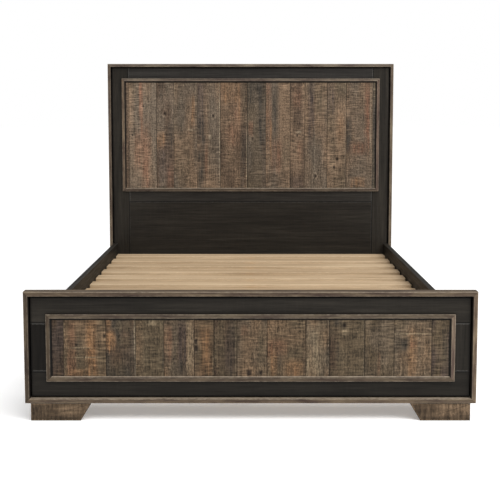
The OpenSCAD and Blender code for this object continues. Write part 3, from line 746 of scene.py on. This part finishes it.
# %% Footboard planks, left to right
FOOTBOARD = [
    (0.9, "plum", "umber", [], []),
    (1.05, "tan", "khaki", [("rust", .20, .10, .5, .5, .7), ("orange", .66, .12, .5, .5, 1.0),
     ("olive", .88, .10, .55, .4, .5), ("char", .33, .12, .55, .10, .6),
     ("orange", .45, .3, .06, .08, .6), ("pale", .35, .3, .50, .012, .6),
     ("pale", .6, .35, .34, .012, .7), ("pale", .01, .015, .5, .5, .6)],
     [(.30, .55, 5), (.97, .70, 5)]),
    (1.2, "umber", "char", [("orange", .15, .17, .62, .17, 1.0), ("olive", .6, .25, .88, .1, .5),
     ("olive", .6, .2, .60, .08, .5), ("orange", .1, .1, .92, .08, .4),
     ("khaki", .4, .3, .15, .15, .5), ("pale", .985, .015, .7, .35, .8)], []),
    (1.05, "olive", "khaki", [("tan", .15, .15, .6, .5, .5), ("olive", .65, .3, .4, .5, .6),
     ("pale", .6, .2, .93, .05, .5), ("char", .98, .03, .3, .3, .6)], []),
    (1.0, "grey", "tan", [("rust", .15, .15, .6, .3, .5), ("plum", .60, .17, .55, .4, 1.0),
     ("char", .55, .2, .15, .15, .6), ("pale", .88, .11, .5, .5, .5)], []),
    (0.8, "tan", "khaki", [("char", .12, .10, .50, .12, .8), ("orange", .6, .3, .45, .45, .9),
     ("khaki", .5, .4, .9, .08, .4), ("pale", .97, .03, .2, .25, .6)],
     [(.12, .5, 8), (.1, .62, 6)]),
    (1.0, "umber", "khaki", [("olive", .3, .25, .35, .2, .6), ("char", .8, .2, .5, .5, .7),
     ("plum", .7, .2, .4, .3, .5), ("pale", .98, .02, .4, .5, .5)], []),
    (0.94, "tan", "grey", [("olive", .85, .14, .4, .45, .7), ("rust", .25, .12, .8, .1, .3),
     ("umber", .38, .12, .08, .06, .8), ("char", .8, .15, .07, .05, .7)],
     [(.42, .07, 10), (.8, .08, 7)]),
    (1.05, "tan", "khaki", [("rust", .25, .25, .5, .15, .7), ("char", .3, .1, .3, .2, .5),
     ("orange", .18, .08, .2, .25, .7), ("orange", .7, .25, .15, .15, .8),
     ("olive", .8, .2, .9, .1, .4), ("umber", .97, .04, .4, .4, .6)], []),
    (0.91, "tan", "grey", [("pale", .3, .3, .2, .2, .4), ("olive", .7, .2, .9, .1, .4),
     ("pale", .4, .4, .5, .4, .35), ("char", .95, .06, .5, .4, .4)], []),
    (1.0, "olive", "khaki", [("umber", .12, .14, .45, .4, .9), ("char", .25, .12, .95, .08, .7),
     ("pale", .45, .08, .78, .08, .6), ("char", .25, .05, .4, .15, .5)],
     [(.42, .88, 8)]),
    (1.0, "khaki", "grey", [("char", .06, .06, .3, .2, .7), ("rust", .5, .05, .25, .2, .4)], []),
    (1.05, "grey", "tan", [("char", .2, .2, .55, .12, .9), ("orange", .5, .12, .4, .45, .7),
     ("rust", .5, .1, .55, .06, .6), ("tan", .8, .2, .5, .5, .6),
     ("pale", .5, .5, .74, .012, .6), ("olive", .15, .15, .92, .1, .6)], []),
    (1.1, "khaki", "plum", [("char", .8, .25, .55, .45, .5), ("pale", .6, .3, .33, .01, .5)], []),
]
print("recipes:", len(HEADBOARD), "and", len(FOOTBOARD))

# %% [markdown]
# ## Painting a plank
# Stain soaks into old wood unevenly: its edges fray along the grain, and a knot stays dark with
# a paler ring round it. A painter's brush in Blender could put this on an image. Here every point
# of the plank's mesh gets its colour from the recipe, as an attribute that the material reads.

# %% Soft noise
def soft_noise(across, up, cells, seed):
    """Values from 0 to 1 that change smoothly: a random lattice of `cells` by `cells`, blended
    between its points with t^2 (3 - 2t)."""
    lattice = np.random.default_rng(seed).random((cells[1] + 2, cells[0] + 2))
    x, y = across * cells[0], up * cells[1]
    i, j = x.astype(int), y.astype(int)
    s, t = x - i, y - j
    s, t = s * s * (3 - 2 * s), t * t * (3 - 2 * t)
    lower = lattice[j, i] * (1 - s) + lattice[j, i + 1] * s
    upper = lattice[j + 1, i] * (1 - s) + lattice[j + 1, i + 1] * s
    return lower * (1 - t) + upper * t


def cells_of(width, height, cell, fewest):
    """How many cells fit across and up, with at least the fewest of each."""
    return max(fewest[0], int(width / cell[0])), max(fewest[1], int(height / cell[1]))


heights = np.linspace(0, 1, 5)
print("soft noise at five heights:", soft_noise(0 * heights, heights, (1, 5), 1).round(2))

# %% Painting a plank
CORE_STAIN = np.array([0.018, 0.012, 0.009])
# the sizes in metres, across and up, of the cells of three kinds of noise
FIBRE_CELL = (0.006, 0.12)
BREAK_CELL = (0.014, 0.045)
WANDER_HEIGHT = 0.04
STREAK_STRENGTH = 1.15


def painted(across, up, width, height, recipe, seed):
    """The stain at each point: the two base colours by soft noise, then each streak with the
    weight exp(-dx^4 - dy^4), its edges frayed along the grain, and dark rings at the knots."""
    paleness, first, second, streaks, knots = recipe
    shares = soft_noise(across, up, (3, 3), seed)[..., None]
    shares = np.clip(1.6 * shares - 0.3, 0, 1)
    colour = np.array(STAINS[first]) * (1 - shares) + np.array(STAINS[second]) * shares
    fibres = soft_noise(across, up, cells_of(width, height, FIBRE_CELL, (4, 2)), seed + 1)
    breaks = soft_noise(across, up, cells_of(width, height, BREAK_CELL, (3, 3)), seed + 7)
    breaks = 0.4 + 1.2 * breaks
    wander = soft_noise(across, up, (3, max(3, int(height / WANDER_HEIGHT))), seed + 2) - 0.5
    for stain, centre, half_width, middle, half_height, strength in streaks:
        strength = strength * STREAK_STRENGTH
        dx = (across - centre + 0.35 * half_width * wander) / half_width
        dy = (up - middle + 0.25 * half_height * (fibres - 0.5)) / half_height
        weight = strength * np.exp(-(dx**4) - dy**4) * (0.3 + 0.9 * fibres * breaks)
        weight = np.clip(weight, 0, 1)[..., None]
        colour = colour * (1 - weight) + np.array(STAINS[stain]) * weight
    colour = colour * paleness
    dips = np.zeros_like(across)
    for centre, middle, size in knots:
        reach = np.hypot((across - centre) * width, 0.7 * (up - middle) * height)
        reach = reach / (1.2 * size * MM) * (0.7 + 0.45 * breaks)
        core = np.exp(-((reach / 0.75) ** 4))[..., None]
        halo = np.exp(-(((reach - 1.5) / 0.5) ** 2))[..., None]
        colour = colour * (1 - 0.9 * core) + CORE_STAIN * 0.9 * core
        colour = colour * (1 + 0.35 * halo)
        dips = dips + core[..., 0]
    return colour, dips, fibres


# %% [markdown]
# ## The shape of a plank
# A band saw leaves ripples across a plank, in patches where it wandered. The face is cupped a
# little, and its edges are rounded. Displacement in the material would need far more points. The
# ripples are 8.5 mm apart, so a grid with a point every 2.6 mm can carry them as real shape. Next
# to the inner moulding, at its sides and its top, the colour falls off to near black: painted
# shadow where the moulding shades the plank.

# %% Plank builder
PLANK_CELL = 2.6 * MM
RIPPLE_LENGTH = 8.5e-3
RIPPLE_DEPTH = 0.22 * MM
PATCH_HEIGHT = 0.09
FIBRE_RELIEF = 0.25 * MM
KNOT_DIP = 0.5 * MM
EDGE_DROP = 1.3 * MM
EDGE_REACH = 0.9 * MM
CUP_DEPTH = 0.3 * MM
SHADOW_FADE = 2 * MM
DARKEST = 0.04
SEAM_REACH = 2.8 * MM
print("a ripple spans", round(RIPPLE_LENGTH / PLANK_CELL, 1), "rows of the grid")


def wobble(up, seed):
    """A slow wandering along the plank, the same across it."""
    return soft_noise(np.zeros_like(up), up, (1, 5), seed)


def plank(name, low, high, frame_box, recipe, seed, node_name, row_shade, shadow_width):
    """An upright plank. Its front is a grid of points (across, up). The depth of a point adds the
    saw's ripples, a sine of its height, the fibres, the knots' dips, the edges' drop
    exp(-distance / reach) and the cup (2 across - 1)^2."""
    width, height = high[0] - low[0], high[2] - low[2]
    columns = max(8, round(width / PLANK_CELL))
    rows = round(height / PLANK_CELL)
    across, up = np.meshgrid(np.linspace(0, 1, columns), np.linspace(0, 1, rows))
    colour, dips, fibres = painted(across, up, width, height, recipe, seed)
    random = np.random.default_rng(seed + 3)
    proud = random.uniform(-0.5, 0.7) * MM
    patch = soft_noise(across, up, (2, max(2, int(height / PATCH_HEIGHT))), seed + 4)
    patch = np.clip(2.4 * patch - 0.9, 0, 1)
    turns = up * height / RIPPLE_LENGTH + 0.6 * across + 3 * wobble(up, seed + 5)
    ripple = np.sin(2 * np.pi * turns)
    edge = np.minimum(across, 1 - across) * width
    x = low[0] + across * width
    z = low[2] + up * height
    y = low[1] - proud + RIPPLE_DEPTH * patch * ripple - FIBRE_RELIEF * (fibres - 0.5)
    y = y + KNOT_DIP * dips + EDGE_DROP * np.exp(-edge / EDGE_REACH) + CUP_DEPTH * (2 * across - 1) ** 2
    front = np.stack([x, y, z], -1)
    back = front[:, [-1, 0]].copy()
    back[..., 1] = high[1]
    rings = np.concatenate([front, back], 1)
    # painted shadow: at the sides and the top of the opening the colour falls to near black next to the
    # moulding
    inner_low, inner_high = frame_box
    from_sides = np.minimum(x - inner_low[0], inner_high[0] - x)
    lit = np.clip((np.minimum(from_sides, inner_high[2] - z) - shadow_width) / SHADOW_FADE, 0, 1)
    colour = colour * (DARKEST + (1 - DARKEST) * (lit**2 * (3 - 2 * lit)))[..., None]
    colour = np.concatenate([colour, colour[:, [-1, 0]]], 1)
    tint = np.concatenate([colour, np.ones_like(colour[..., :1])], -1)
    # painted shade on each plank's left edge, and a painted highlight on most right edges, as if lit
    # from the right
    left_edge_shade, right_edge_light = random.uniform(-0.95, -0.3), random.uniform(-0.2, 0.85)
    wear_and_light = left_edge_shade * np.exp(-((across * width / SEAM_REACH) ** 2))
    wear_and_light = wear_and_light + right_edge_light * np.exp(-(((1 - across) * width / SEAM_REACH) ** 2))
    wear_and_light = np.concatenate([wear_and_light, 0 * wear_and_light[:, [-1, 0]]], 1)
    # the cast darkens and warms the whole plank: painted shade on the footboard's row
    data = {"wood": grain_coordinates(rings, "z", seed), "wear_and_light": wear_and_light, "tint": tint,
            "light_and_tone": even_light_and_tone(row_shade, wear_and_light.shape)}
    material, slot = PLANK
    mesh = mesh_of_rings(name, rings, data, sharp_angle=60)
    place(name, mesh, material, "frame", [node_name])


# %% [markdown]
# ## Both rows
# The imported model has one node for each row, with a solid for each plank. Each solid's box gives
# a plank its place, so the planks stand where the imported ones do. The headboard is cast in a
# neutral tone and the footboard in a darker, warmer one; the darkening is painted shade over the
# lower end. Near the inner moulding both fall to black, as painted shadow.

# %% Both rows of planks
def connected_boxes(node_name):
    """The box of each solid in a node, from left to right. The solids stand side by side and each
    has two x values, so the sorted values are taken in pairs."""
    coordinates = np.array([v.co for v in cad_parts[node_name].data.vertices])
    edges = np.unique(np.round(coordinates[:, 0], 5))
    low, high = coordinates.min(0), coordinates.max(0)
    pairs = edges.reshape(-1, 2)
    return [((left, low[1], low[2]), (right, high[1], high[2])) for left, right in pairs]


LIP = 19 * MM
# the first seed, the end, its recipes, the cast (painted shade that darkens the footboard's row),
# and the width of the painted black shadow next to the moulding
ROWS = ((200, "headboard", HEADBOARD, (0.95, 0.95, 0.95), 3.6 * MM),
        (400, "footboard", FOOTBOARD, (0.69, 0.66, 0.60), 2.2 * MM))
for first_seed, end, recipes, row_shade, shadow_width in ROWS:
    node_name = end + "_planks"
    low, high = box_of(*[f"{end}_inner_{s}_moulding" for s in SIDES])
    opening = (low + LIP, high - LIP)
    boxes = connected_boxes(node_name)
    for number, ((low, high), recipe) in enumerate(zip(boxes, recipes)):
        plank(f"{end}_plank_{number + 1:02d}", low, high, opening, recipe,
              first_seed + 10 * number, node_name, row_shade, shadow_width)
    print(end, "planks:", len(boxes), "recipes:", len(recipes))


# %% [markdown]
# ## Turned pieces
# Screws, stems and pads are turned or moulded round an axis, so each is a profile carried round
# it. Blender's screw modifier does this too. Here the profile becomes rings like the boards', and
# a function may bend each ring, which a modifier can't do.

# %% Lathe
def lathe(profile, around, bend):
    """Rings of a profile of (radius, height) turned about Z. bend gets the angle, the radius and
    the height of each point, and returns a new radius and height."""
    profile = np.array(profile, float)
    angle = np.linspace(0, 2 * np.pi, around, endpoint=False)[None, :]
    radius = np.repeat(profile[:, :1], around, 1)
    height = np.repeat(profile[:, 1:], around, 1)
    radius, height = bend(angle, radius, height)
    return np.stack([radius * np.cos(angle), radius * np.sin(angle), height], -1)


# %% One mesh from several shapes
def joined(name, parts, material, body, replaces):
    """One mesh from several closed ring shapes."""
    points, faces, start = [], [], 0
    for rings in parts:
        faces += outward_faces(rings, start)
        points.append(rings.reshape(-1, 3))
        start += len(points[-1])
    mesh = bpy.data.meshes.new(name)
    mesh.from_pydata(np.concatenate(points), [], faces)
    mesh.shade_smooth()
    mesh.set_sharp_from_angle(angle=math.radians(35))
    print(name, "has", len(parts), "parts and", len(faces), "faces")
    place(name, mesh, material, body, replaces)


# %% [markdown]
# ## Screws
# The slats, the ledgers and the legs are held by countersunk screws. The driver's cross is
# pressed into the head by lowering the points near two crossing lines. A boolean would cut the
# same cross with worse faces. Each group of screws is one mesh, as each group is one node.

# %% A countersunk screw
def screw_rings(length, shank, head):
    """A countersunk screw along Z, its head's rim at z = 0, with a cross in the head."""
    cone = head - shank
    profile = [(0.1 * MM, -length), (0.6 * shank, -length + 2 * shank), (shank, -length + 4 * shank),
               (shank, -cone), (head, -0.2 * MM), (head, 0.0), (0.8 * head, 0.15 * MM),
               (0.62 * head, 0.2 * MM), (0.5 * head, 0.2 * MM), (0.3 * head, 0.2 * MM),
               (0.12 * head, 0.2 * MM)]

    def cross(angle, radius, height):
        arm = np.minimum(np.abs(np.sin(angle)), np.abs(np.cos(angle))) * radius
        pressed = (arm < 0.12 * head) & (radius < 0.55 * head) & (height > 0)
        return radius, height - 1.2 * MM * pressed

    return lathe(profile, 32, cross)


# %% Rows of screws
def sideways(rings, sign):
    """The rings with their +Z turned to face +X (sign 1) or -X (sign -1)."""
    x, y, z = rings[..., 0], rings[..., 1], rings[..., 2]
    return np.stack([sign * z, y, -sign * x], -1)


# screws stand midway across each slat, and along a ledger midway between two slats
slat_rows = slats_low.y + SLAT_WIDTH / 2 + slat_pitch * np.arange(SLAT_COUNT)
ledger_low, ledger_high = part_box("right_slat_ledger")
ledger_middle = (ledger_low.x + ledger_high.x) / 2
slat_screw = screw_rings(34 * MM, 2 * MM, 4 * MM)
ledger_screw = screw_rings(42 * MM, 2 * MM, 4 * MM)
leg_screw = screw_rings(105 * MM, 3 * MM, 6 * MM)
ledger_screw_z = ledger_high.z - 27 * MM
leg_rows = [sum(c.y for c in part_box(n)) / 2 for n in ("head_centre_leg", "foot_centre_leg")]
SCREWS = {
    "slat_screws": [slat_screw + (side * ledger_middle, y, slats_high.z)
                    for side in (-1, 1) for y in slat_rows],
    "ledger_screws": [sideways(ledger_screw, sign) + (x, y + slat_pitch / 2, ledger_screw_z)
                      for sign, x in ((-1, ledger_low.x), (1, -ledger_low.x))
                      for y in slat_rows[:-1:2]],
    "leg_screws": [leg_screw + (0, y, slats_low.z) for y in leg_rows],
}
for node_name, parts in SCREWS.items():
    joined(node_name + "_turned", parts, ZINC, "frame", [node_name])

# %% [markdown]
# ## Levellers
# A leveller is a threaded stem with a hexagon for the spanner, standing in a nylon pad whose rim
# is ribbed for the fingers. A texture could fake the thread, but its outline shows against the
# floor, so the ring's radius follows a triangle wave that climbs one pitch in a turn. The stem
# rides on its own body and the pad on another, because the stem rises and the pad swivels.

# %% Thread, hexagon and ribs
THREAD_PITCH = 1.25 * MM
STEM_RADIUS = 3.98 * MM
NUT_GAP = 0.05 * MM
# the hexagon and the pad, as (radius, height) in millimetres above the pad's top and its foot
NUT = np.array([(6.6, 0.0), (7.5, 0.6), (7.5, 5.4), (6.6, 6.0)])
PAD = np.array([(6, 0.4), (16, 0.4), (17.5, 0.0), (18.6, 0.2), (19, 0.9), (19, 2.6), (18.4, 3.6),
                (15.4, 7), (14.2, 8.6), (13.4, 9), (8, 9), (5, 8.8), (4.1, 8.4), (4.06, 3.2),
                (0.3, 3.05)])


def thread(angle, radius, height):
    """An M8 thread: the radius falls by a triangle wave that climbs one pitch in a turn."""
    phase = (height / THREAD_PITCH - angle / (2 * np.pi)) % 1
    return radius - 0.5 * MM * np.abs(2 * phase - 1) * (radius > 1 * MM), height


def hexagon(angle, radius, height):
    """A nut's outline: the flats of a hexagon, with its corners turned down at both faces."""
    flat = 13 * MM / 2 / np.cos((angle % (np.pi / 3)) - np.pi / 6)
    return np.minimum(radius, flat), height


def pad_ribs(angle, radius, height):
    """Fine ribs round the pad's rim."""
    return radius - 0.35 * MM * (np.cos(40 * angle) > 0) * (radius > 13 * MM), height


# %% Both levellers
for end in ("head", "foot"):
    low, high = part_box(f"{end}_leveller_stem")
    middle = np.array([(low.x + high.x) / 2, (low.y + high.y) / 2, 0])
    pad_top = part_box(f"{end}_leveller_pad")[1].z
    heights = np.arange(low.z, high.z - 1 * MM, THREAD_PITCH / 8)
    rod = [(0.8 * MM, low.z)] + [(STEM_RADIUS, h) for h in heights] + [(2.6 * MM, high.z)]
    nut = NUT * MM + (0, pad_top + NUT_GAP)
    parts = [lathe(rod, 36, thread) + middle, lathe(nut, 48, hexagon) + middle]
    joined(f"{end}_leveller_stem_threaded", parts, ZINC, f"{end}_leveller_stem",
           [f"{end}_leveller_stem"])
    joined(f"{end}_leveller_pad_moulded", [lathe(PAD * MM, 80, pad_ribs) + middle], NYLON,
           f"{end}_leveller_pad", [f"{end}_leveller_pad"])

# %% [markdown]
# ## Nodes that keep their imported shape
# Plates are stamped from flat steel and the core boards are plain sheets out of sight, so the
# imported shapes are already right. They only get a better material.

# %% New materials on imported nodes
KEPT = {name: ZINC for name in ("rail_hook_plates", "post_slot_plates", "plate_screws",
                                "beam_brackets", "bracket_screws", "foot_screws", "leg_inserts")}
KEPT |= {name: HIDDEN_WOOD for name in ("headboard_core_panel", "footboard_core_panel")}
for node_name, material in KEPT.items():
    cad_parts[node_name].data.materials.clear()
    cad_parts[node_name].data.materials.append(material)
print("nodes that keep their shape:", len(KEPT))

# %% [markdown]
# ## Floor
# A photographer's paper floor has no far edge. The floor is a disc 60 m in radius whose rings
# widen outwards, and it glows a little, so that it runs off to white.

# %% A disc
FLOOR_RADIUS = 60.0
FLOOR_GLOW = 0.2


def disc(name, radius, rings, around):
    """A flat disc: points at radius * s^2 for s from 0 to 1, and at even angles."""
    share = np.linspace(0, 1, rings)[1:, None] ** 2
    angle = np.linspace(0, 2 * np.pi, around, endpoint=False)[None, :]
    reach = radius * share
    edge = np.stack([reach * np.cos(angle), reach * np.sin(angle), 0 * share * angle], -1)
    points = np.concatenate([[[0, 0, 0]], edge.reshape(-1, 3)])
    row = 1 + np.arange(rings - 2)[:, None] * around
    here = np.arange(around)[None, :]
    after = (here + 1) % around
    quads = np.stack([row + here, row + around + here, row + around + after, row + after], -1)
    centre = np.stack([0 * here, 1 + here, 1 + after], -1)
    mesh = bpy.data.meshes.new(name)
    mesh.from_pydata(points, [], quads.reshape(-1, 4).tolist() + centre.reshape(-1, 3).tolist())
    return mesh


# %% The floor
floor_material, tree, shader = new_material("pale floor")
own = node(tree, "TexCoord", {}).outputs["Object"]
cloudy = noise(tree, own, (0.6, 0.6, 0.6), 3, 0.5)
pale = mix(tree, cloudy, rgb(0.9, 0.9, 0.9), rgb(0.94, 0.94, 0.94))
tree.links.new(pale, shader.inputs["Base Color"])
shader.inputs["Emission Color"].default_value = rgb(1.0, 1.0, 1.0)
shader.inputs["Emission Strength"].default_value = FLOOR_GLOW
shader.inputs["Roughness"].default_value = 0.8
shader.inputs["Specular IOR Level"].default_value = 0.1
floor = bpy.data.objects.new("floor", disc("floor", FLOOR_RADIUS, 24, 64))
floor.data.materials.append(floor_material)
bpy.context.scene.collection.objects.link(floor)
floor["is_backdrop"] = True
print("floor faces:", len(floor.data.polygons))


# %% [markdown]
# ## Lights
# The light of a plain studio comes from all round, with one side a little stronger. The white
# world fills every shadow. A sun spread over 50 degrees gives soft shading from above, a softbox
# on the right draws the profile of the mouldings, and a weak one on the left keeps their other
# side open. To the camera the world is pure white, but it lights the bed with less than that, or
# the dark boards would turn grey.

# %% A softbox
WORLD_AS_LIGHT = 0.38
WORLD_AS_SEEN = 1.0
AIM = (0.0, 0.0, 0.5)
SUN_STRENGTH = 2.3
SUN_SPREAD = 50


def softbox(name, place_at, size, power):
    """A square area light that faces the middle of the bed."""
    light = bpy.data.lights.new(name, "AREA")
    light.shape, light.size, light.energy = "SQUARE", size, power
    lamp = bpy.data.objects.new(name, light)
    bpy.context.scene.collection.objects.link(lamp)
    lamp.location = place_at
    lamp.rotation_euler = (Vector(AIM) - Vector(place_at)).to_track_quat("-Z", "Y").to_euler()


# %% Lights and sky
softbox("left fill", (-3.6, -3.4, 2.6), size=2.2, power=14)
softbox("right key", (3.4, -3.0, 3.0), size=1.8, power=90)
sky = bpy.data.lights.new("broad overhead", "SUN")
sky.energy = SUN_STRENGTH
sky.angle = math.radians(SUN_SPREAD)
sky_lamp = bpy.data.objects.new("broad overhead", sky)
sky_lamp.rotation_euler = (math.radians(24), math.radians(14), 0)
bpy.context.scene.collection.objects.link(sky_lamp)
world = bpy.data.worlds.new("pale studio")
bpy.context.scene.world = world
world.use_nodes = True
backdrop = world.node_tree.nodes["Background"]
seen = node(world.node_tree, "LightPath", {}).outputs["Is Camera Ray"]
backdrop.inputs[0].default_value = rgb(1.0, 1.0, 1.0)
brightness = ramp(world.node_tree, seen, 0, 1, WORLD_AS_LIGHT, WORLD_AS_SEEN)
world.node_tree.links.new(brightness, backdrop.inputs[1])
bpy.context.scene.view_settings.view_transform = "Standard"
print("lights:", [light.name for light in bpy.data.lights])

# %% [markdown]
# ## Camera
# A bed is shown from the front, with its upright lines upright. A view camera does that with a
# level body and a shifted lens. A large shift would push the bed towards the edge of the other
# views, so this camera has a small shift and is tilted down by a few degrees.

# %% Camera
CAMERA_AT = (0.0005, -4.446, 1.110)
CAMERA_TILT = 5.3
LENS = 69.14
SHIFT = (-0.0014, -0.10)
camera_data = bpy.data.cameras.new("camera")
camera_data.lens = LENS
camera_data.shift_x, camera_data.shift_y = SHIFT
camera = bpy.data.objects.new("camera", camera_data)
camera.location = CAMERA_AT
camera.rotation_euler = (math.radians(90 - CAMERA_TILT), 0, 0)
bpy.context.scene.collection.objects.link(camera)
bpy.context.scene.camera = camera

# %% [markdown]
# ## The box of what is shown should be the box of the imported model; the last line prints it.
# The box of what is shown has to match the box of the imported model, so both are written down.

# %% Sizes and the last line
low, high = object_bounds()
print("box of the finished bed:", [round(v, 4) for v in low], [round(v, 4) for v in high])
